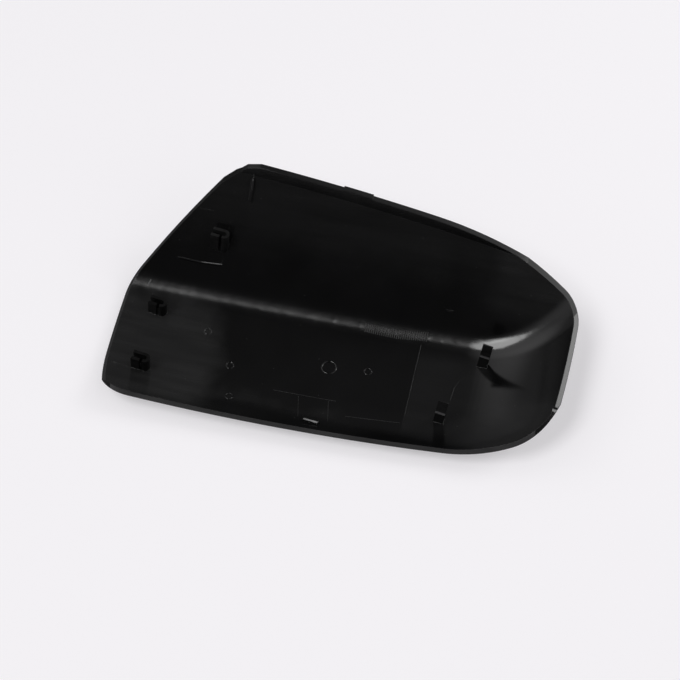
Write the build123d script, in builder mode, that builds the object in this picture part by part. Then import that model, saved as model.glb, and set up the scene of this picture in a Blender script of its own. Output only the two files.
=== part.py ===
from build123d import *
import os
from math import asin, cos, degrees, radians, sin, sqrt, tan

# Wing mirror cover: one moulded shell lying on its outer face, hollow side up
# Sizes in millimetres: X runs along the cover, Y from the near rim to the far rim, Z up

# Moulded skin
skin = 2.5

# Panel: the wide crowned face, turned up at its outer end and curled up along its near edge
keel_radius = 1400.0
keel_low_x = -10.0
bend_start_x = 72.0
bend_radius = 78.0
bend_turn = 42.9
crown_radius = 450.0
crown_low_y = -10.0
curl_start_y = -38.0
curl_radius = 55.0
curl_turn = 60.0

# Far wall: leans back from the fold, bows along its length and stands up in a lip
wall_slope = 47.7
wall_foot_y = 6.5
wall_bow_radius = 1200.0
lip_foot_height = 53.2
lip_turn = 27.0
fold_radius = 18.0

# Inner end: raked and slightly bulged in side view, then bevelled, with a stepped end to the lip
rake_foot_x = -103.9
rake_angle = 42.4
rake_height = 47.0
rake_bulge_radius = 450.0
lip_end_height = 52.3
lip_step = 2.7
lip_step_run = 3.0
lip_ramp_angle = 13.0

# Top edge: falls gently along the wall, then drops to the tip; a low tab stands on it
top_start_x = -52.5
top_start_height = 57.4
top_fall = 4.6
top_straight = 100.0
top_drop_radius = 200.0
top_drop_turn = 50.0
tab_start = 52.0
tab_length = 15.0
tab_rise = 0.8

# Outer end: cut at a slope across the bend, with a rounded tip and a small notch
end_cut_angle = 62.0
end_yaw = 5.8
tip_y = 18.7
tip_radius = 10.0
tip_turn = 59.0
tip_clear = 0.05
notch_y = -33.0
notch_width = 2.4
notch_depth = 1.2

# Near edge: one long arc drawn on a plane that leans back, with a rounded corner at each end
near_lean = 35.0
near_plane_height = 8.0
near_left_x = -130.0
near_left_y = -64.3
near_middle_x = 10.0
near_middle_y = -62.0
near_right_x = 150.0
near_right_y = -52.6
near_left_inset = 7.5
near_left_slant = 23.0
near_left_radius = 20.0
near_right_inset = 2.0
near_right_depth = 36.5
near_right_slant = 18.0
near_right_radius = 22.0

# Clips and hooks lean a little towards the outer end, as they leave the mould
clip_lean = 4.5

# Fork clips: upright U walls, open towards the inner end, with the near prong cut free as a tongue
fork_length = 9.0
fork_width = 5.2
fork_prong = 1.5
fork_tongue = 4.3
fork_gap = 1.4
fork_turn = -6.0
fork_places = ((-81.4, -9.9), (-80.6, -43.0), (-57.0, 23.4))
fork_tops = (13.6, 15.4, 34.0)

# Snap hooks: tall stems with a barb towards the near edge
hook_width = 5.0
hook_stem = 2.0
hook_foot = 1.6
hook_barb = 2.4
hook_land = 0.7
hook_lead = 4.6
hook_nose = 1.2
hook_nose_slope = 62.5
hook_turn = -6.0
hook_places = ((80.7, -9.1), (65.8, -43.6))
hook_tops = (25.5, 25.0)

# Small mouldings on the inside
rib_x = -46.0
rib_width = 1.2
rib_length = 11.0
rib_rise = 1.8
rib_middle_height = 46.2
bar_x = 6.9
bar_y = -55.5
bar_length = 7.7
bar_width = 1.2
bar_top = 9.2
pin_mark_radius = 1.6
pin_mark_places = ((-55.2, -15.3), (-39.6, -31.6), (-35.3, -49.5), (27.3, -19.7))
wide_mark_radius = 3.3
wide_mark_place = (8.1, -21.5)
mark_depth = 0.3

# Raw sizes: spare past the trimmed edges, bite of the fittings into the skin, reach of the cutters
spare = 20.0
spare_turn = 12.0
bite = 1.0
form_height = 72.0
far_y = 70.0
reach = 150.0

# Where the bend starts and where the outer end is cut, on the outer face
bend_angle = degrees(asin((bend_start_x - keel_low_x) / keel_radius))
bend_start_z = keel_radius * (1 - cos(radians(bend_angle)))
end_angle = bend_angle + bend_turn
end_x = bend_start_x + bend_radius * (sin(radians(end_angle)) - sin(radians(bend_angle)))
end_z = bend_start_z + bend_radius * (cos(radians(bend_angle)) - cos(radians(end_angle)))
wall_axis = Axis((0, wall_foot_y - wall_bow_radius, 0), (0, 0, 1))

# The lip's axis leans with the top edge, and stands off to the side by as much as keeps the lip on the wall
lip_x = -wall_bow_radius * tan(radians(top_fall)) / tan(radians(wall_slope))
lip_y = wall_foot_y - wall_bow_radius - lip_x**2 / (2 * wall_bow_radius)
lip_axis = Axis((lip_x, lip_y, 0), (sin(radians(top_fall)), 0, cos(radians(top_fall))))

def filled_form(inset):
    """Solid that fills the cover to above its rim, drawn in from the outer face by inset."""
    left_x = rake_foot_x - spare
    left_angle = degrees(asin((left_x - keel_low_x) / keel_radius))
    curl_angle = degrees(asin((curl_start_y - crown_low_y) / crown_radius))
    far_angle = degrees(asin((far_y - crown_low_y) / crown_radius))
    curl_offset = crown_radius - curl_radius
    half_span = asin(reach / wall_bow_radius)
    lean = Vector(cos(radians(wall_slope)), sin(radians(wall_slope)))
    inward = Vector(-lean.Y, lean.X)
    foot = Vector(wall_bow_radius, 0) + inward * inset
    lip_slope = radians(wall_slope + lip_turn)
    lip_lean = Vector(cos(lip_slope), sin(lip_slope))
    lip_foot = Vector(wall_bow_radius + lip_foot_height / tan(radians(wall_slope)), lip_foot_height)
    lip_foot = lip_foot + Vector(-lip_lean.Y, lip_lean.X) * inset
    lip_span = asin((reach - lip_x) / wall_bow_radius)
    lip_start = Vector(0, 1, 0).rotate(Axis((0, 0, 0), lip_axis.direction), -degrees(lip_span))
    with BuildLine(Plane.XZ) as guide:
        keel = JernArc(
            start=(left_x, keel_radius * (1 - cos(radians(left_angle)))),
            tangent=(cos(radians(left_angle)), sin(radians(left_angle))),
            radius=keel_radius,
            arc_size=bend_angle - left_angle,
        )
        JernArc(start=keel @ 1, tangent=keel % 1, radius=bend_radius, arc_size=bend_turn + spare_turn)
    with BuildPart() as form:
        # Panel section swept along the keel and round the bend
        with BuildSketch(Plane(origin=keel @ 0, x_dir=(0, 1, 0), z_dir=keel % 0)):
            with BuildLine():
                curl = CenterArc(
                    center=(
                        crown_low_y + curl_offset * sin(radians(curl_angle)),
                        crown_radius - curl_offset * cos(radians(curl_angle)),
                    ),
                    radius=curl_radius - inset,
                    start_angle=curl_angle - 90 - curl_turn,
                    arc_size=curl_turn,
                )
                crown = CenterArc(
                    center=(crown_low_y, crown_radius),
                    radius=crown_radius - inset,
                    start_angle=curl_angle - 90,
                    arc_size=far_angle - curl_angle,
                )
                Polyline(
                    crown @ 1,
                    ((crown @ 1).X, form_height),
                    ((curl @ 0).X, form_height),
                    curl @ 0,
                )
            make_face()
        sweep(path=guide.wires()[0])
        # Everything behind the far wall is taken away
        with BuildSketch(
            Plane(
                origin=wall_axis.position,
                x_dir=(sin(half_span), cos(half_span), 0),
                z_dir=(cos(half_span), -sin(half_span), 0),
            )
        ):
            with BuildLine():
                straight = Line(foot - lean * 2 * spare, foot + lean * reach)
                Polyline(
                    straight @ 1,
                    (wall_bow_radius - reach, (straight @ 1).Y),
                    (wall_bow_radius - reach, (straight @ 0).Y),
                    straight @ 0,
                )
            make_face()
        revolve(axis=wall_axis, revolution_arc=2 * degrees(half_span), mode=Mode.INTERSECT)
        # Fold between panel and wall
        low_curves = form.edges().filter_by(GeomType.BSPLINE)
        fold = low_curves.filter_by_position(Axis.Z, -spare, form_height / 2 - bite)
        fillet(fold, fold_radius + skin - inset)
        # The wall stands up in a lip, along a line that falls with the top edge
        with BuildSketch(
            Plane(
                origin=lip_axis.position,
                x_dir=lip_start,
                z_dir=lip_start.cross(lip_axis.direction),
            )
        ):
            with BuildLine():
                upright = Line(lip_foot - lip_lean * 2 * spare, lip_foot + lip_lean * 2 * spare)
                Polyline(
                    upright @ 1,
                    (wall_bow_radius - reach, (upright @ 1).Y),
                    (wall_bow_radius - reach, -reach),
                    ((upright @ 0).X, -reach),
                    upright @ 0,
                )
            make_face()
        revolve(axis=lip_axis, revolution_arc=2 * degrees(lip_span), mode=Mode.INTERSECT)
    return form

outer = filled_form(0)
inner = filled_form(skin)
grown = filled_form(skin - bite)
marked = filled_form(skin - mark_depth)

# Clips, hooks, rib and bar, standing on the inside and rooted in the skin
with BuildPart() as fittings:
    lean = radians(clip_lean)
    for place, top in zip(fork_places, fork_tops):
        with BuildSketch(Plane(origin=(*place, top)).rotated((0, 0, fork_turn))):
            straight_length = fork_length - fork_width / 2
            with Locations((-fork_width / 4, 0)):
                Rectangle(straight_length, fork_width)
            with Locations((straight_length / 2 - fork_width / 4, 0)):
                Circle(fork_width / 2)
                Circle(fork_width / 2 - fork_prong, mode=Mode.SUBTRACT)
            with Locations((-fork_width / 4, 0)):
                Rectangle(straight_length, fork_width - 2 * fork_prong, mode=Mode.SUBTRACT)
            with Locations((fork_tongue + fork_gap / 2 - fork_length / 2, -fork_width / 2)):
                Rectangle(fork_gap, fork_width, mode=Mode.SUBTRACT)
        extrude(amount=top / cos(lean), dir=(-sin(lean), 0, -cos(lean)))
    for place, top in zip(hook_places, hook_tops):
        turn = radians(hook_turn)
        with BuildSketch(
            Plane(
                origin=(*place, 0),
                x_dir=(-sin(turn), cos(turn), 0),
                z_dir=(cos(lean) * cos(turn), cos(lean) * sin(turn), -sin(lean)),
            )
        ):
            with BuildLine():
                stem_back = hook_barb + hook_stem
                nose_top = top - hook_lead
                nose_foot = nose_top - hook_nose
                Polyline(
                    (stem_back + hook_foot, 0),
                    (stem_back, top / 2),
                    (stem_back, top),
                    (stem_back - hook_land, top),
                    (hook_nose / tan(radians(hook_nose_slope)), nose_top),
                    (0, nose_foot),
                    (hook_barb, nose_foot),
                    (hook_barb, 0),
                    close=True,
                )
            make_face()
        extrude(amount=hook_width / 2, both=True)
    with BuildSketch(Plane.YZ.offset(rib_x - rib_width / 2)):
        bow = wall_bow_radius - sqrt(wall_bow_radius**2 - rib_x**2)
        wall_run = rib_middle_height / tan(radians(wall_slope)) - skin / sin(radians(wall_slope))
        with Locations(Location((wall_foot_y - bow + wall_run, rib_middle_height), wall_slope)):
            Rectangle(rib_length, 2 * rib_rise)
    extrude(amount=rib_width)
    with Locations((bar_x, bar_y, 0)):
        Box(bar_length, bar_width, bar_top, align=(Align.CENTER, Align.CENTER, Align.MIN))
    add(grown.part, mode=Mode.INTERSECT)

# Shallow round marks left by the ejector pins, as deep as the marked form is larger than the inner one
with BuildPart() as pin_marks:
    with BuildSketch():
        with Locations(*pin_mark_places):
            Circle(pin_mark_radius)
        with Locations(wide_mark_place):
            Circle(wide_mark_radius)
    extrude(amount=form_height / 2)
    add(marked.part, mode=Mode.INTERSECT)

with BuildPart() as cover:
    add(outer.part)
    add(inner.part, mode=Mode.SUBTRACT)
    # Inner end
    with BuildSketch(Plane.XZ):
        with BuildLine():
            rake_slope = tan(radians(rake_angle))
            rake_base = (rake_foot_x, 0)
            rake_top = (rake_foot_x + rake_height * rake_slope, rake_height)
            RadiusArc(rake_base, rake_top, rake_bulge_radius)
            Polyline(
                rake_top,
                (top_start_x, lip_end_height),
                (top_start_x + lip_step_run, lip_end_height + lip_step),
                (
                    top_start_x + lip_step_run + reach,
                    lip_end_height + lip_step + reach * tan(radians(lip_ramp_angle)),
                ),
                (rake_foot_x - reach, lip_end_height + reach),
                (rake_foot_x - reach, -spare),
                (rake_foot_x - spare * rake_slope, -spare),
                rake_base,
            )
        make_face()
    extrude(amount=reach, both=True, mode=Mode.SUBTRACT)
    # Top edge with its tab
    with BuildSketch(Plane.XZ.offset(spare)):
        with BuildLine():
            fall = Vector(cos(radians(top_fall)), -sin(radians(top_fall)))
            rise = Vector(-fall.Y, fall.X)
            lip_end = Vector(top_start_x, top_start_height)
            tab_foot = lip_end + fall * tab_start
            tab_end = tab_foot + fall * tab_length
            Polyline(
                lip_end - fall * spare,
                tab_foot,
                tab_foot + rise * tab_rise,
                tab_end + rise * tab_rise,
                tab_end,
                lip_end + fall * top_straight,
            )
            drop = JernArc(lip_end + fall * top_straight, fall, top_drop_radius, -top_drop_turn)
            Polyline(
                drop @ 1,
                ((drop @ 1).X, reach),
                ((lip_end - fall * spare).X, reach),
                lip_end - fall * spare,
            )
        make_face()
    extrude(amount=-reach, mode=Mode.SUBTRACT)
    # Outer end and the notch in it
    cut_flat = cos(radians(end_cut_angle))
    cut_normal = (
        cut_flat * cos(radians(end_yaw)),
        -cut_flat * sin(radians(end_yaw)),
        sin(radians(end_cut_angle)),
    )
    end_plane = Plane(
        origin=(end_x, 0, end_z),
        x_dir=(sin(radians(end_yaw)), cos(radians(end_yaw)), 0),
        z_dir=cut_normal,
    )
    split(bisect_by=end_plane, keep=Keep.BOTTOM)
    with BuildSketch(end_plane):
        with Locations((notch_y, 0)):
            Rectangle(notch_width, 4 * skin)
    extrude(amount=-notch_depth, mode=Mode.SUBTRACT)
    # Near edge
    lean_angle = radians(near_lean)
    with BuildSketch(
        Plane(
            origin=(0, 0, near_plane_height),
            x_dir=(1, 0, 0),
            z_dir=(0, sin(lean_angle), cos(lean_angle)),
        )
    ) as near_outline:
        with BuildLine():
            near_edge = ThreePointArc(
                (near_left_x, near_left_y * cos(lean_angle)),
                (near_middle_x, near_middle_y * cos(lean_angle)),
                (near_right_x, near_right_y * cos(lean_angle)),
            )
            Polyline(
                near_edge @ 1,
                ((near_edge @ 1).X, reach),
                ((near_edge @ 0).X, reach),
                near_edge @ 0,
            )
        make_face()
        with BuildLine():
            left_slope = tan(radians(near_left_slant))
            right_slope = tan(radians(near_right_slant))
            left_x = rake_foot_x + near_left_inset
            right_x = end_x - near_right_inset + near_right_depth * right_slope
            low_y = (near_edge @ 0.5).Y - spare
            high_y = reach - spare
            Polyline(
                (left_x + spare * left_slope, low_y),
                (right_x + low_y * right_slope, low_y),
                (right_x + high_y * right_slope, high_y),
                (left_x + (spare + low_y - high_y) * left_slope, high_y),
                close=True,
            )
        make_face(mode=Mode.INTERSECT)
        near_corners = near_outline.vertices().filter_by_position(Axis.Y, -reach, 0)
        fillet(near_corners.sort_by(Axis.X)[0], near_left_radius)
        near_corners = near_outline.vertices().filter_by_position(Axis.Y, -reach, 0)
        fillet(near_corners.sort_by(Axis.X)[-1], near_right_radius)
    extrude(amount=reach, both=True, mode=Mode.INTERSECT)
    # Tip
    with BuildSketch():
        with BuildLine():
            tip_lean = radians(end_yaw)
            tip = JernArc(
                start=(end_x + tip_y * tan(tip_lean) + tip_clear, tip_y),
                tangent=(sin(tip_lean), cos(tip_lean)),
                radius=tip_radius,
                arc_size=tip_turn + end_yaw,
            )
            run = Line(tip @ 1, tip @ 1 + (tip % 1) * spare)
            Polyline(
                run @ 1,
                (end_x + spare, (run @ 1).Y),
                (end_x + spare, (tip @ 0).Y),
                tip @ 0,
            )
        make_face()
    extrude(amount=form_height, mode=Mode.SUBTRACT)
    # Fittings and ejector pin marks on the inside
    add(fittings.part)
    add(pin_marks.part, mode=Mode.SUBTRACT)

# The finished cover stands on the middle of its own footprint
box = cover.part.bounding_box()
with BuildPart() as mirror_cover:
    with Locations((-box.center().X, -box.center().Y, -box.min.Z)):
        add(cover.part)
mirror_cover.part.label = "mirror_cover"

os.makedirs("parts", exist_ok=True)
export_step(mirror_cover.part, "parts/mirror_cover.step")
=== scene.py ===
import math

import bmesh
import bpy
from mathutils import Matrix, Vector


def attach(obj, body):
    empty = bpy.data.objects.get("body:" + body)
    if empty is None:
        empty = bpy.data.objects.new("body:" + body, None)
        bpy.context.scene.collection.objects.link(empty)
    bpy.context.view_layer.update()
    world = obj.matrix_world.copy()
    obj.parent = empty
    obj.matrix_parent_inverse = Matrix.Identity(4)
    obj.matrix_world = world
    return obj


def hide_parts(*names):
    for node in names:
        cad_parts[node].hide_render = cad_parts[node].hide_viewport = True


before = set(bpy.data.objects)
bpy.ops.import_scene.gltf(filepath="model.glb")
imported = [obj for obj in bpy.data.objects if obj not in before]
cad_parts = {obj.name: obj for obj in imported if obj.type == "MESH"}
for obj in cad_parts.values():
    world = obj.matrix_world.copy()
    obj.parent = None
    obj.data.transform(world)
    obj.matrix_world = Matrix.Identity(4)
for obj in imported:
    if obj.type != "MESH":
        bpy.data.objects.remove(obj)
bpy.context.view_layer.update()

# Lengths are in metres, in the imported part's frame: X along the cover, Y to the far wall, Z up
MM = 0.001

# Photograph: square frame, camera well above the floor on the near side
PHOTO_PIXELS = 680
CAMERA_ELEVATION = math.radians(60)
CAMERA_YAW = math.radians(-12.9)
CAMERA_DISTANCE = 0.9
CAMERA_CLIP = 0.01
FOCAL_PIXELS = 1800
SENSOR_WIDTH = 36
# Point of the fold that the camera was fitted on, and the pixel where it shows
FITTED_POINT = Vector((-11.108, 5.038, 0)) * MM
FITTED_PIXEL = (323, 330)

# Studio
FLOOR_COLOUR = (0.62, 0.61, 0.627, 1)
FLOOR_SIZE = 6.0
FLOOR_DROP = 0.05 * MM
FLOOR_LIFT = 0.66
ROOM_COLOUR = (1, 0.99, 1, 1)
ROOM_BASE = 0.045
# Soft glows in the room: azimuth, elevation and spread in degrees, then radiance
ROOM_GLOWS = [
    (-77, 51, 30, 0.95),
    (-58, 19, 50, 0.2),
    (22, 50, 17, 0.6),
    (-126, 35, 30, 0.35),
    (-13, 42, 28, 0.05),
    (95, 40, 50, 0.7),
]

# Cover mesh
MERGE_DISTANCE = 0.002 * MM
SMOOTH_ANGLE = math.radians(24)

# Satin black plastic
PLASTIC_IOR = 1.5
DARK_TONE = (0.0022, 0.0022, 0.0023, 1)
PALE_TONE = (0.0036, 0.0036, 0.0038, 1)
TONE_SPAN = (0.35, 0.7)
SATIN_ROUGHNESS = (0.12, 0.17)
EDGE_ROUND = 0.35 * MM
EDGE_SAMPLES = 4
FLOW_NOISE = {"scale": 28, "detail": 3}
STREAK_NOISE = {"scale": 160, "detail": 2, "stretch": (9, 1, 1)}
GRAIN_NOISE = {"scale": 1600, "detail": 2}
STREAK_BUMP = {"strength": 0.12, "distance": 0.03 * MM}
GRAIN_BUMP = {"strength": 0.05, "distance": 0.05 * MM}
# Dust: cells to the metre, edge of a speck, share of cells with a speck, paleness
DUST_SCALE = 300
DUST_EDGE = (0.10, 0.04)
DUST_SHARE = 0.22
DUST_PALENESS = 0.02

# Painted sheen: soft pale patches in the base colour where the room's reflection shows lighter
# (left and right of the panel, along the near rim, up the wall and at its right end); they also
# roughen the satin. Each gives lowest corner, highest corner, soft border at each, strength.
# Corners are in mm from the fitted point, borders in mm.
PAINTED_SHEEN_PATCHES = [
    ((-120, -70, -5), (-49, 1, 22), (7, 8, 2.5), (9, 8, 4), 0.0115),
    ((50, -52, -5), (80, -4, 7.5), (0.8, 6, 2), (8, 6, 1.5), 0.004),
    ((-70, -70, -5), (32, -49, 30), (15, 5, 6), (18, 4, 6), 0.0036),
    ((-120, 12, 28), (130, 70, 70), (10, 4, 14), (10, 4, 14), 0.005),
    ((80, 14, 14), (130, 60, 60), (8, 8, 6), (8, 8, 6), 0.006),
    ((84, -70, -5), (130, -28, 40), (9, 8, 8), (8, 7, 8), 0.0055),
]
# A side with a border under this many mm is crisp and does not drift
CRISP_BORDER = 2
SHEEN_DRIFT = 30 * MM
DRIFT_SCALE = 45
DRIFT_DETAIL = 3
NOISE_MIDDLE = (0.5, 0.5, 0.5)
# Streaks in the painted sheen: span of the noise, and the share of the sheen at its two ends
STREAK_SPAN = (0.3, 0.7)
STREAK_SHARE = (0.7, 1.3)
# Even small paleness on the lip, which is left without the painted sheen, and the roughness that
# the sheen adds to the satin
UNSHEENED_PALENESS = 0.0004
SHEEN_ROUGHNESS = 4

# Dull plastic
CUT_DETAIL = 3
CUT_STRETCH = (4, 4, 1)
CUT_SPAN = (0.3, 0.75)
CUT_BUMP = {"strength": 0.2, "distance": 0.05 * MM}
DULL_ROUGHNESS = (0.4, 0.6)

# Sockets of a Map Range node that works on vectors, which share their names with its others
RANGE_VECTOR, RANGE_LOW, RANGE_HIGH = 6, 7, 8
RANGE_RESULT = 1

# Clips: plan place from the fitted point and height of the top (mm)
FORK_PLACES = [(-81.4, -9.9, 13.6), (-80.6, -43.0, 15.4), (-57.0, 23.4, 34.0)]
HOOK_PLACES = [(80.7, -9.1, 25.5), (65.8, -43.6, 25.0)]
CLIP_REACH = 8 * MM
FORK_TOP_DEPTH = 2.2 * MM

# Finishes of the cover, in the order of its materials
SATIN, DULL, RUBBED_AND_SHEEN, LIP_UNSHEENED, WALL_CLIP_SHEEN = range(5)
# Where the faces with a finish of their own begin
INNER_END_X = -50 * MM
WALL_CLIP_Z = 20 * MM
LIP_Z = 36 * MM
TIP_X, TIP_Y = 84 * MM, 24.5 * MM
NEAR_RIM_Y = -28 * MM
# How those faces are turned, as parts of their normals
UPRIGHT_Z = 0.35
FLAT_TOP_Z = 0.9
BARB_Z = (0.55, 0.75)
END_TURN_X = 0.45
LIP_TURN_Y, LIP_TURN_Z = -0.8, (0.1, 0.45)
TIP_TURN_X, TIP_TURN_Z = 0.2, 0.8
RIM_TURN_Y, RIM_TURN_Z = -0.4, 0.3

# Mould lines in plan, in mm from the fitted point
INSERT_LINES = [
    [(-55.6, 16.3), (-55.4, 19)],
    [(-54.5, 29), (-54.2, 32.4)],
    [(-70.3, 34.1), (-62.7, 34.2)],
    [(49.8, 0.1), (50, -51.4)],
    [(70, -27.4), (70.4, -21.2), (72.1, -16), (75.1, -13.6), (77.4, -13.2)],
    [(-95.9, -44.3), (-87.4, -45.2)],
]
POCKET_LINES = [
    [(-2.7, -40.9), (0.1, -53.5)],
    [(12.2, -40.6), (14.7, -53)],
    [(-15.5, -40.4), (15.8, -39.8)],
    [(22.1, -47.6), (48.7, -45.4)],
]
SEAM_LINE = [(-78.1, 15.6), (-66, 15.6), (-55.6, 16.3)]
WALL_MARK_LINE = [(58.9, 15.8), (62.4, 15.7)]
BAR_LINE = [(3.4, -55.3), (10.4, -55.8)]
NIB_LINE = [(-91.2, 2.4), (-90.0, 5.2)]
RIB_LINE = [(-45.6, 42.8), (-45.8, 49)]
PIN_PLACES = [(-55.2, -15.3), (-39.6, -31.6), (-35.3, -49.5), (27.3, -19.7)]
WIDE_PLACE = (8.1, -21.5)
TOOTH_PATH = [(21, 1.6), (37, 1.1), (52, 2.5)]
# The lines are drawn at this height (mm) and dropped on the cover, by less than the ray's reach (m)
LINE_START_HEIGHT = 90
RAY_REACH = 1
RING_SIDES = 32
RIDGE_SIDES = 16


def new_material(name):
    """Empty node material and its nodes and links."""
    material = bpy.data.materials.new(name)
    material.use_nodes = True
    tree = material.node_tree
    tree.nodes.clear()
    return material, tree.nodes, tree.links


def feed(links, value, socket):
    """Link a socket to another one, or set it to a plain value."""
    if isinstance(value, bpy.types.NodeSocket):
        links.new(value, socket)
    else:
        socket.default_value = value


def math_node(nodes, links, operation, *values):
    """Result of a math node on sockets or plain values."""
    node = nodes.new("ShaderNodeMath")
    node.operation = operation
    for value, socket in zip(values, node.inputs):
        feed(links, value, socket)
    return node.outputs["Value"]


def vector_node(nodes, links, operation, first, second):
    """Result of a vector math node on two sockets or plain values."""
    node = nodes.new("ShaderNodeVectorMath")
    node.operation = operation
    feed(links, first, node.inputs[0])
    feed(links, second, node.inputs["Scale"] if operation == "SCALE" else node.inputs[1])
    return node.outputs["Value" if operation == "DOT_PRODUCT" else "Vector"]


def map_range(nodes, links, value, source=(0, 1), result=(0, 1), interpolation="LINEAR"):
    """A value carried from one span to another."""
    node = nodes.new("ShaderNodeMapRange")
    node.interpolation_type = interpolation
    names = ("From Min", "From Max", "To Min", "To Max")
    for name, number in zip(names, (*source, *result)):
        node.inputs[name].default_value = number
    links.new(value, node.inputs["Value"])
    return node.outputs["Result"]


def tone_ramp(nodes, links, value, span, dark, pale):
    """Colour that goes from dark to pale over a span of a value."""
    node = nodes.new("ShaderNodeValToRGB")
    for element, position, colour in zip(node.color_ramp.elements, span, (dark, pale)):
        element.position = position
        element.color = colour
    links.new(value, node.inputs["Fac"])
    return node.outputs["Color"]


def bump_node(nodes, links, height, strength, distance, under=None):
    """Normal roughened by a height, laid over another normal where one is given."""
    node = nodes.new("ShaderNodeBump")
    node.inputs["Strength"].default_value = strength
    node.inputs["Distance"].default_value = distance
    links.new(height, node.inputs["Height"])
    if under is not None:
        links.new(under, node.inputs["Normal"])
    return node.outputs["Normal"]


def noise_map(nodes, links, place, scale, detail, stretch=(1, 1, 1)):
    """Noise on object coordinates, drawn out along the axes by the stretch."""
    spread = nodes.new("ShaderNodeMapping")
    spread.inputs["Scale"].default_value = [1 / s for s in stretch]
    noise = nodes.new("ShaderNodeTexNoise")
    noise.inputs["Scale"].default_value = scale
    noise.inputs["Detail"].default_value = detail
    links.new(place, spread.inputs["Vector"])
    links.new(spread.outputs["Vector"], noise.inputs["Vector"])
    return noise.outputs["Fac"]


def add_camera():
    """Camera that puts the fitted point of the cover on its pixel of the photograph."""
    level = Vector((math.sin(CAMERA_YAW), math.cos(CAMERA_YAW), 0))
    ahead = level * math.cos(CAMERA_ELEVATION)
    ahead.z = -math.sin(CAMERA_ELEVATION)
    right = Vector((math.cos(CAMERA_YAW), -math.sin(CAMERA_YAW), 0))
    up = right.cross(ahead)
    middle = PHOTO_PIXELS / 2
    step = CAMERA_DISTANCE / FOCAL_PIXELS
    place = FITTED_POINT - ahead * CAMERA_DISTANCE
    place -= right * (FITTED_PIXEL[0] - middle) * step
    place += up * (FITTED_PIXEL[1] - middle) * step
    data = bpy.data.cameras.new("camera")
    data.sensor_fit = "HORIZONTAL"
    data.sensor_width = SENSOR_WIDTH
    data.lens = SENSOR_WIDTH * FOCAL_PIXELS / PHOTO_PIXELS
    data.clip_start = CAMERA_CLIP
    camera = bpy.data.objects.new("camera", data)
    turn = Matrix((right, up, -ahead)).transposed()
    camera.matrix_world = Matrix.Translation(place) @ turn.to_4x4()
    bpy.context.scene.collection.objects.link(camera)
    bpy.context.scene.camera = camera


def sky_direction(azimuth, elevation):
    """Unit vector to a place in the room. Azimuth runs from +Y towards +X, in degrees."""
    a, e = math.radians(azimuth), math.radians(elevation)
    return Vector((math.sin(a) * math.cos(e), math.cos(a) * math.cos(e), math.sin(e)))


def add_softbox(name, azimuth, elevation, distance, size, heading, radiance):
    """Oval area light aimed at the cover, with its first side turned to a heading in plan."""
    away = sky_direction(azimuth, elevation)
    along = sky_direction(heading, 0)
    along = (along - away * along.dot(away)).normalized()
    data = bpy.data.lights.new(name, "AREA")
    data.shape = "ELLIPSE"
    data.size, data.size_y = size
    area = math.pi / 4 * size[0] * size[1]
    data.energy = radiance * math.pi * area
    light = bpy.data.objects.new(name, data)
    turn = Matrix((along, away.cross(along), away)).transposed()
    light.matrix_world = Matrix.Translation(away * distance) @ turn.to_4x4()
    bpy.context.scene.collection.objects.link(light)


def add_room():
    """Dim room with soft pale glows."""
    world = bpy.data.worlds.new("studio_room")
    bpy.context.scene.world = world
    world.use_nodes = True
    nodes, links = world.node_tree.nodes, world.node_tree.links
    nodes.clear()
    out = nodes.new("ShaderNodeOutputWorld")
    background = nodes.new("ShaderNodeBackground")
    place = nodes.new("ShaderNodeTexCoord").outputs["Generated"]
    total = ROOM_BASE
    for azimuth, elevation, spread, radiance in ROOM_GLOWS:
        axis = vector_node(nodes, links, "DOT_PRODUCT", place, sky_direction(azimuth, elevation))
        edge = math.cos(math.radians(spread))
        glow = map_range(nodes, links, axis, (edge, 1), (0, radiance), "SMOOTHSTEP")
        total = math_node(nodes, links, "ADD", glow, total)
    links.new(total, background.inputs["Strength"])
    background.inputs["Color"].default_value = ROOM_COLOUR
    links.new(background.outputs["Background"], out.inputs["Surface"])


def add_floor():
    """Plain pale floor that takes the cover's shadow, lifted a little where it is seen."""
    mesh = bpy.data.meshes.new("floor")
    half = FLOOR_SIZE / 2
    corners = [(-half, -half), (half, -half), (half, half), (-half, half)]
    mesh.from_pydata([(x, y, -FLOOR_DROP) for x, y in corners], [], [(0, 1, 2, 3)])
    floor = bpy.data.objects.new("floor", mesh)
    bpy.context.scene.collection.objects.link(floor)
    material, nodes, links = new_material("pale_floor")
    out = nodes.new("ShaderNodeOutputMaterial")
    matt = nodes.new("ShaderNodeBsdfDiffuse")
    matt.inputs["Color"].default_value = FLOOR_COLOUR
    paleness = nodes.new("ShaderNodeEmission")
    paleness.inputs["Color"].default_value = FLOOR_COLOUR
    path = nodes.new("ShaderNodeLightPath").outputs
    seen = math_node(nodes, links, "MAXIMUM", path["Is Camera Ray"], path["Is Glossy Ray"])
    seen = math_node(nodes, links, "MAXIMUM", seen, path["Is Transmission Ray"])
    lift = math_node(nodes, links, "MULTIPLY", seen, FLOOR_LIFT)
    both = nodes.new("ShaderNodeAddShader")
    links.new(lift, paleness.inputs["Strength"])
    links.new(matt.outputs["BSDF"], both.inputs[0])
    links.new(paleness.outputs["Emission"], both.inputs[1])
    links.new(both.outputs["Shader"], out.inputs["Surface"])
    mesh.materials.append(material)


def drifted_place(nodes, links, place):
    """Object coordinates pushed about by noise, so that a soft border runs unevenly."""
    noise = nodes.new("ShaderNodeTexNoise")
    noise.inputs["Scale"].default_value = DRIFT_SCALE
    noise.inputs["Detail"].default_value = DRIFT_DETAIL
    links.new(place, noise.inputs["Vector"])
    push = vector_node(nodes, links, "SUBTRACT", noise.outputs["Color"], NOISE_MIDDLE)
    push = vector_node(nodes, links, "SCALE", push, SHEEN_DRIFT)
    return vector_node(nodes, links, "ADD", push, place)


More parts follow.
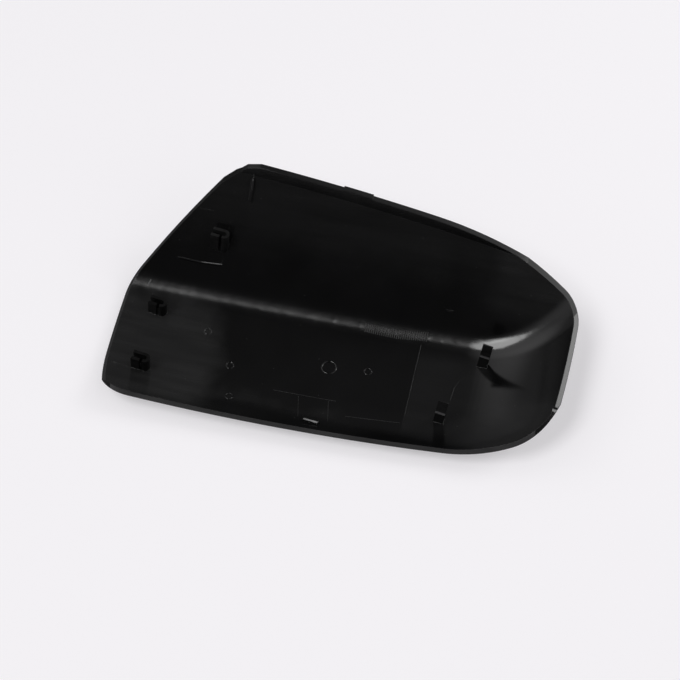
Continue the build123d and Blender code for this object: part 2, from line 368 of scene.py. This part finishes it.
def sheen_total(nodes, links, place):
    """Sum of the soft-edged patches of painted sheen, read from object coordinates."""
    drifted = drifted_place(nodes, links, place)
    total = 0
    for low, high, low_soft, high_soft, strength in PAINTED_SHEEN_PATCHES:
        sides = []
        for corner, soft, turn in ((low, low_soft, 1), (high, high_soft, -1)):
            side = nodes.new("ShaderNodeMapRange")
            side.data_type = "FLOAT_VECTOR"
            side.interpolation_type = "SMOOTHSTEP"
            middle = FITTED_POINT + Vector(corner) * MM
            reach = Vector(soft) * MM * turn
            side.inputs[RANGE_LOW].default_value = middle - reach
            side.inputs[RANGE_HIGH].default_value = middle + reach
            crisp = min(soft) < CRISP_BORDER
            links.new(place if crisp else drifted, side.inputs[RANGE_VECTOR])
            sides.append(side.outputs[RANGE_RESULT])
        split = nodes.new("ShaderNodeSeparateXYZ")
        links.new(vector_node(nodes, links, "MULTIPLY", *sides), split.inputs["Vector"])
        inside = math_node(nodes, links, "MULTIPLY", split.outputs["X"], split.outputs["Y"])
        inside = math_node(nodes, links, "MULTIPLY", inside, split.outputs["Z"])
        total = math_node(nodes, links, "MULTIPLY_ADD", inside, strength, total)
    return total


def black_plastic(name, sheened):
    """Black moulded plastic: satin gloss, painted sheen in soft patches, flow streaks, dust and a
    fine moulded grain.
    """
    material, nodes, links = new_material(name)
    out = nodes.new("ShaderNodeOutputMaterial")
    shader = nodes.new("ShaderNodeBsdfPrincipled")
    shader.inputs["IOR"].default_value = PLASTIC_IOR
    place = nodes.new("ShaderNodeTexCoord").outputs["Object"]
    flow = noise_map(nodes, links, place, **FLOW_NOISE)
    streak = noise_map(nodes, links, place, **STREAK_NOISE)
    grain = noise_map(nodes, links, place, **GRAIN_NOISE)

    # Painted sheen: soft pale patches, broken up by streaks, added to the base colour
    uneven = map_range(nodes, links, streak, STREAK_SPAN, STREAK_SHARE)
    sheen = sheen_total(nodes, links, place) if sheened else UNSHEENED_PALENESS
    sheen = math_node(nodes, links, "MULTIPLY", sheen, uneven)
    specks = nodes.new("ShaderNodeTexVoronoi")
    specks.inputs["Scale"].default_value = DUST_SCALE
    links.new(place, specks.inputs["Vector"])
    near = map_range(nodes, links, specks.outputs["Distance"], DUST_EDGE)
    chosen = math_node(nodes, links, "LESS_THAN", specks.outputs["Color"], DUST_SHARE)
    dust = math_node(nodes, links, "MULTIPLY", near, chosen)
    # Dust and the painted sheen both lighten the base colour
    paleness = math_node(nodes, links, "MULTIPLY_ADD", dust, DUST_PALENESS, sheen)
    tone = tone_ramp(nodes, links, flow, TONE_SPAN, DARK_TONE, PALE_TONE)
    links.new(vector_node(nodes, links, "ADD", tone, paleness), shader.inputs["Base Color"])

    gloss = map_range(nodes, links, flow, result=SATIN_ROUGHNESS)
    dulled = math_node(nodes, links, "MULTIPLY_ADD", paleness, SHEEN_ROUGHNESS, gloss)
    links.new(dulled, shader.inputs["Roughness"])

    rounded = nodes.new("ShaderNodeBevel")
    rounded.samples = EDGE_SAMPLES
    rounded.inputs["Radius"].default_value = EDGE_ROUND
    pulled = bump_node(nodes, links, streak, under=rounded.outputs["Normal"], **STREAK_BUMP)
    grained = bump_node(nodes, links, grain, under=pulled, **GRAIN_BUMP)
    links.new(grained, shader.inputs["Normal"])
    links.new(shader.outputs["BSDF"], out.inputs["Surface"])
    return material


def dull_plastic(name, dark, pale, specular, grain_scale):
    """Black plastic without the polish of the mould, with a coarse cut grain. Where it is given
    pale tones, they are painted sheen and highlight.
    """
    material, nodes, links = new_material(name)
    out = nodes.new("ShaderNodeOutputMaterial")
    shader = nodes.new("ShaderNodeBsdfPrincipled")
    shader.inputs["Specular IOR Level"].default_value = specular
    place = nodes.new("ShaderNodeTexCoord").outputs["Object"]
    cut = noise_map(nodes, links, place, grain_scale, CUT_DETAIL, CUT_STRETCH)
    tone = tone_ramp(nodes, links, cut, CUT_SPAN, (dark, dark, dark, 1), (pale, pale, pale, 1))
    gloss = map_range(nodes, links, cut, result=DULL_ROUGHNESS)
    links.new(tone, shader.inputs["Base Color"])
    links.new(gloss, shader.inputs["Roughness"])
    links.new(bump_node(nodes, links, cut, **CUT_BUMP), shader.inputs["Normal"])
    links.new(shader.outputs["BSDF"], out.inputs["Surface"])
    return material


def by_clip(middle, places):
    """Whether a point is close to a clip in plan, and how far it lies above that clip's top."""
    for place in places:
        away = middle - FITTED_POINT - Vector(place) * MM
        if away.to_2d().length < CLIP_REACH:
            return True, away.z
    return False, 0


def finish_of(face):
    """Finish of a face of the cover, told by its place and the way it is turned."""
    middle, facing = face.calc_center_median(), face.normal
    on_fork, over_fork = by_clip(middle, FORK_PLACES)
    on_hook, _ = by_clip(middle, HOOK_PLACES)
    upright = abs(facing.z) < UPRIGHT_Z
    if middle.x < INNER_END_X and facing.x < -END_TURN_X and facing.z > UPRIGHT_Z:
        return DULL
    # The fork up on the wall takes a paler dull finish, painted sheen like the wall around it.
    if on_fork and (upright or facing.z > FLAT_TOP_Z and over_fork > -FORK_TOP_DEPTH):
        return WALL_CLIP_SHEEN if middle.z > WALL_CLIP_Z else DULL
    if on_hook and (upright or BARB_Z[0] < facing.z < BARB_Z[1]):
        return DULL
    # The lip takes plastic without the painted sheen, so it stays darker than the wall.
    if middle.z > LIP_Z and facing.y < LIP_TURN_Y and LIP_TURN_Z[0] < facing.z < LIP_TURN_Z[1]:
        return LIP_UNSHEENED
    # Tip faces turned right and up take the paler rubbed finish, as painted sheen of the lamp they
    # face.
    at_tip = middle.x > TIP_X and middle.y > TIP_Y
    if at_tip and facing.x > TIP_TURN_X and facing.z > TIP_TURN_Z:
        return RUBBED_AND_SHEEN
    # Near rim faces turned forward and up take the paler rubbed finish, as painted reflection of
    # the floor and lamps.
    at_rim = middle.y < NEAR_RIM_Y and not on_fork and not on_hook
    if at_rim and facing.y < RIM_TURN_Y and facing.z > RIM_TURN_Z:
        return DULL if facing.x > END_TURN_X else RUBBED_AND_SHEEN
    return SATIN


def smooth_cover(finishes):
    """The CAD cover as one joined, smooth-shaded mesh with its true edges kept sharp."""
    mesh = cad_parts["mirror_cover"].data.copy()
    mesh.name = "cover_skin"
    mesh.materials.clear()
    for finish in finishes:
        mesh.materials.append(finish)
    shape = bmesh.new()
    shape.from_mesh(mesh)
    bmesh.ops.remove_doubles(shape, verts=shape.verts, dist=MERGE_DISTANCE)
    shape.normal_update()
    for face in shape.faces:
        face.smooth = True
        face.material_index = finish_of(face)
    for edge in shape.edges:
        edge.smooth = len(edge.link_faces) == 2 and edge.calc_face_angle() < SMOOTH_ANGLE
    shape.to_mesh(mesh)
    shape.free()
    cover = bpy.data.objects.new("cover_skin", mesh)
    bpy.context.scene.collection.objects.link(cover)
    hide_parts("mirror_cover")
    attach(cover, "root")
    return cover


def stamped_lines(nodes, links, sizes, lines, stamp):
    """Teeth stamped along a curve at the pitch, or rings stamped at points."""
    if stamp == "tooth":
        marks = nodes.new("GeometryNodeResampleCurve")
        marks.mode = "LENGTH"
        links.new(lines, marks.inputs["Curve"])
        links.new(sizes["Pitch"], marks.inputs["Length"])
        lines = marks.outputs["Curve"]
        shape = nodes.new("GeometryNodeCurvePrimitiveLine")
        shape.mode = "DIRECTION"
        shape.inputs["Direction"].default_value = (0, 1, 0)
        links.new(sizes["Stamp size"], shape.inputs["Length"])
    else:
        shape = nodes.new("GeometryNodeCurvePrimitiveCircle")
        shape.inputs["Resolution"].default_value = RING_SIDES
        links.new(sizes["Stamp size"], shape.inputs["Radius"])
    stamped = nodes.new("GeometryNodeInstanceOnPoints")
    links.new(lines, stamped.inputs["Points"])
    links.new(shape.outputs["Curve"], stamped.inputs["Instance"])
    loose = nodes.new("GeometryNodeRealizeInstances")
    links.new(stamped.outputs["Instances"], loose.inputs["Geometry"])
    return loose.outputs["Geometry"]


def ridge_tree(name, stamp):
    """Tree that lays low round ridges on the cover, along lines or stamped at their points."""
    tree = bpy.data.node_groups.new(name, "GeometryNodeTree")
    nodes, links = tree.nodes, tree.links
    new_socket = tree.interface.new_socket
    new_socket("Geometry", in_out="INPUT", socket_type="NodeSocketGeometry")
    new_socket("Geometry", in_out="OUTPUT", socket_type="NodeSocketGeometry")
    new_socket("Cover", in_out="INPUT", socket_type="NodeSocketObject")
    new_socket("Finish", in_out="INPUT", socket_type="NodeSocketMaterial")
    for size in ("Spacing", "Radius", "Height", "Pitch", "Stamp size"):
        new_socket(size, in_out="INPUT", socket_type="NodeSocketFloat")
    given = nodes.new("NodeGroupInput").outputs
    end = nodes.new("NodeGroupOutput")

    lines = given["Geometry"]
    if stamp != "ring":
        joined = nodes.new("GeometryNodeMeshToCurve")
        links.new(lines, joined.inputs["Mesh"])
        lines = joined.outputs["Curve"]
    if stamp:
        lines = stamped_lines(nodes, links, given, lines, stamp)
    even = nodes.new("GeometryNodeResampleCurve")
    even.mode = "LENGTH"
    links.new(lines, even.inputs["Curve"])
    links.new(given["Spacing"], even.inputs["Length"])

    # Each point drops straight down on the cover, and sinks until only the height stands proud
    target = nodes.new("GeometryNodeObjectInfo")
    links.new(given["Cover"], target.inputs["Object"])
    drop = nodes.new("GeometryNodeRaycast")
    drop.inputs["Ray Direction"].default_value = (0, 0, -1)
    drop.inputs["Ray Length"].default_value = RAY_REACH
    links.new(target.outputs["Geometry"], drop.inputs["Target Geometry"])
    proud = math_node(nodes, links, "SUBTRACT", given["Height"], given["Radius"])
    sunk = vector_node(nodes, links, "SCALE", drop.outputs["Hit Normal"], proud)
    middle = vector_node(nodes, links, "ADD", drop.outputs["Hit Position"], sunk)
    laid = nodes.new("GeometryNodeSetPosition")
    links.new(even.outputs["Curve"], laid.inputs["Geometry"])
    links.new(middle, laid.inputs["Position"])

    section = nodes.new("GeometryNodeCurvePrimitiveCircle")
    section.inputs["Resolution"].default_value = RIDGE_SIDES
    links.new(given["Radius"], section.inputs["Radius"])
    ridge = nodes.new("GeometryNodeCurveToMesh")
    ridge.inputs["Fill Caps"].default_value = True
    links.new(laid.outputs["Geometry"], ridge.inputs["Curve"])
    links.new(section.outputs["Curve"], ridge.inputs["Profile Curve"])
    plain = nodes.new("GeometryNodeRealizeInstances")
    links.new(ridge.outputs["Mesh"], plain.inputs["Geometry"])
    finish = nodes.new("GeometryNodeSetMaterial")
    links.new(plain.outputs["Geometry"], finish.inputs["Geometry"])
    links.new(given["Finish"], finish.inputs["Material"])
    links.new(finish.outputs["Geometry"], end.inputs["Geometry"])
    return tree


def add_ridges(name, lines, cover, material, stamp=None, **sizes):
    """Low ridges left by the mould, under lines or points drawn in plan. Sizes are in mm."""
    points, edges = [], []
    for line in lines:
        first = len(points)
        points += [FITTED_POINT + Vector((x, y, LINE_START_HEIGHT)) * MM for x, y in line]
        edges += [(i, i + 1) for i in range(first, len(points) - 1)]
    drawn = bpy.data.meshes.new(name + "_drawn")
    drawn.from_pydata(points, edges, [])
    ridges = bpy.data.objects.new(name, drawn)
    bpy.context.scene.collection.objects.link(ridges)
    tree = ridge_tree(name, stamp)
    modifier = ridges.modifiers.new(name, "NODES")
    modifier.node_group = tree
    values = {"Cover": cover, "Finish": material}
    for size, value in sizes.items():
        values[size.replace("_", " ").capitalize()] = value * MM
    for socket in tree.interface.items_tree:
        if socket.in_out == "INPUT" and socket.name in values:
            modifier[socket.identifier] = values[socket.name]
    ready = ridges.evaluated_get(bpy.context.evaluated_depsgraph_get())
    mesh = bpy.data.meshes.new_from_object(ready)
    mesh.name = name
    ridges.modifiers.clear()
    ridges.data = mesh
    for face in mesh.polygons:
        face.use_smooth = True
    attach(ridges, "root")


bpy.context.scene.view_settings.view_transform = "Standard"
add_camera()
add_room()
add_softbox(
    "key_softbox", azimuth=-127, elevation=63.7, distance=2.5,
    size=(0.88, 1.35), heading=115, radiance=7.2,
)
add_softbox(
    "low_softbox", azimuth=-147, elevation=57.5, distance=2.5,
    size=(0.42, 0.5), heading=115, radiance=4.0,
)
add_softbox(
    "back_softbox", azimuth=58, elevation=36, distance=1.2,
    size=(0.5, 0.5), heading=148, radiance=4.5,
)
add_floor()

plastic = black_plastic("black_plastic", sheened=True)
# Plastic without the painted sheen, for the lip.
unsheened_lip = black_plastic("lip_without_sheen", sheened=False)
dull = dull_plastic("dull_plastic", dark=0.003, pale=0.009, specular=0.06, grain_scale=700)
# Rubbed, paler plastic: on the near rim and tip its paleness is painted sheen; it also colours the
# pocket lines.
rubbed_and_sheen = dull_plastic("rubbed_rim_and_sheen", dark=0.009, pale=0.032, specular=0.5, grain_scale=160)
# Teeth painted paler than the satin, as sheen where the lamp only grazes them.
tool_marks_sheen = dull_plastic("tool_marks_painted_sheen", dark=0.003, pale=0.011, specular=0.5, grain_scale=500)
# Near-white bar crest: a painted highlight.
bar_highlight = dull_plastic("bar_painted_highlight", dark=0.06, pale=0.4, specular=0.5, grain_scale=300)
# Pale nib: a painted highlight.
nib_highlight = dull_plastic("nib_painted_highlight", dark=0.04, pale=0.1, specular=0.5, grain_scale=300)
# Paler dull finish for the wall fork: painted sheen like the wall around it.
wall_clip_sheen = dull_plastic("wall_clip_painted_sheen", dark=0.008, pale=0.018, specular=0.06, grain_scale=700)

cover = smooth_cover([plastic, dull, rubbed_and_sheen, unsheened_lip, wall_clip_sheen])
add_ridges("insert_lines", INSERT_LINES, cover, plastic, spacing=1, radius=0.25, height=0.025)
add_ridges("pocket_lines", POCKET_LINES, cover, rubbed_and_sheen, spacing=1, radius=0.5, height=0.015)
add_ridges("insert_seam", [SEAM_LINE], cover, plastic, spacing=0.8, radius=1.0, height=0.25)
add_ridges("wall_mark", [WALL_MARK_LINE], cover, plastic, spacing=0.6, radius=1.2, height=0.2)
add_ridges("rib_crest", [RIB_LINE], cover, plastic, spacing=0.6, radius=0.5, height=0.4)
add_ridges("bar_crest", [BAR_LINE], cover, bar_highlight, spacing=0.8, radius=0.5, height=0.25)
add_ridges("stop_nib", [NIB_LINE], cover, nib_highlight, spacing=0.6, radius=0.4, height=0.2)
add_ridges(
    "wide_ring", [[WIDE_PLACE]], cover, plastic, stamp="ring",
    spacing=0.5, radius=0.6, height=0.25, stamp_size=3.55,
)
add_ridges(
    "pin_rings", [PIN_PLACES], cover, plastic, stamp="ring",
    spacing=0.4, radius=0.4, height=0.2, stamp_size=1.8,
)
add_ridges(
    "tool_teeth", [TOOTH_PATH], cover, tool_marks_sheen, stamp="tooth",
    spacing=0.5, radius=0.4, height=0.1, pitch=1.05, stamp_size=4.2,
)
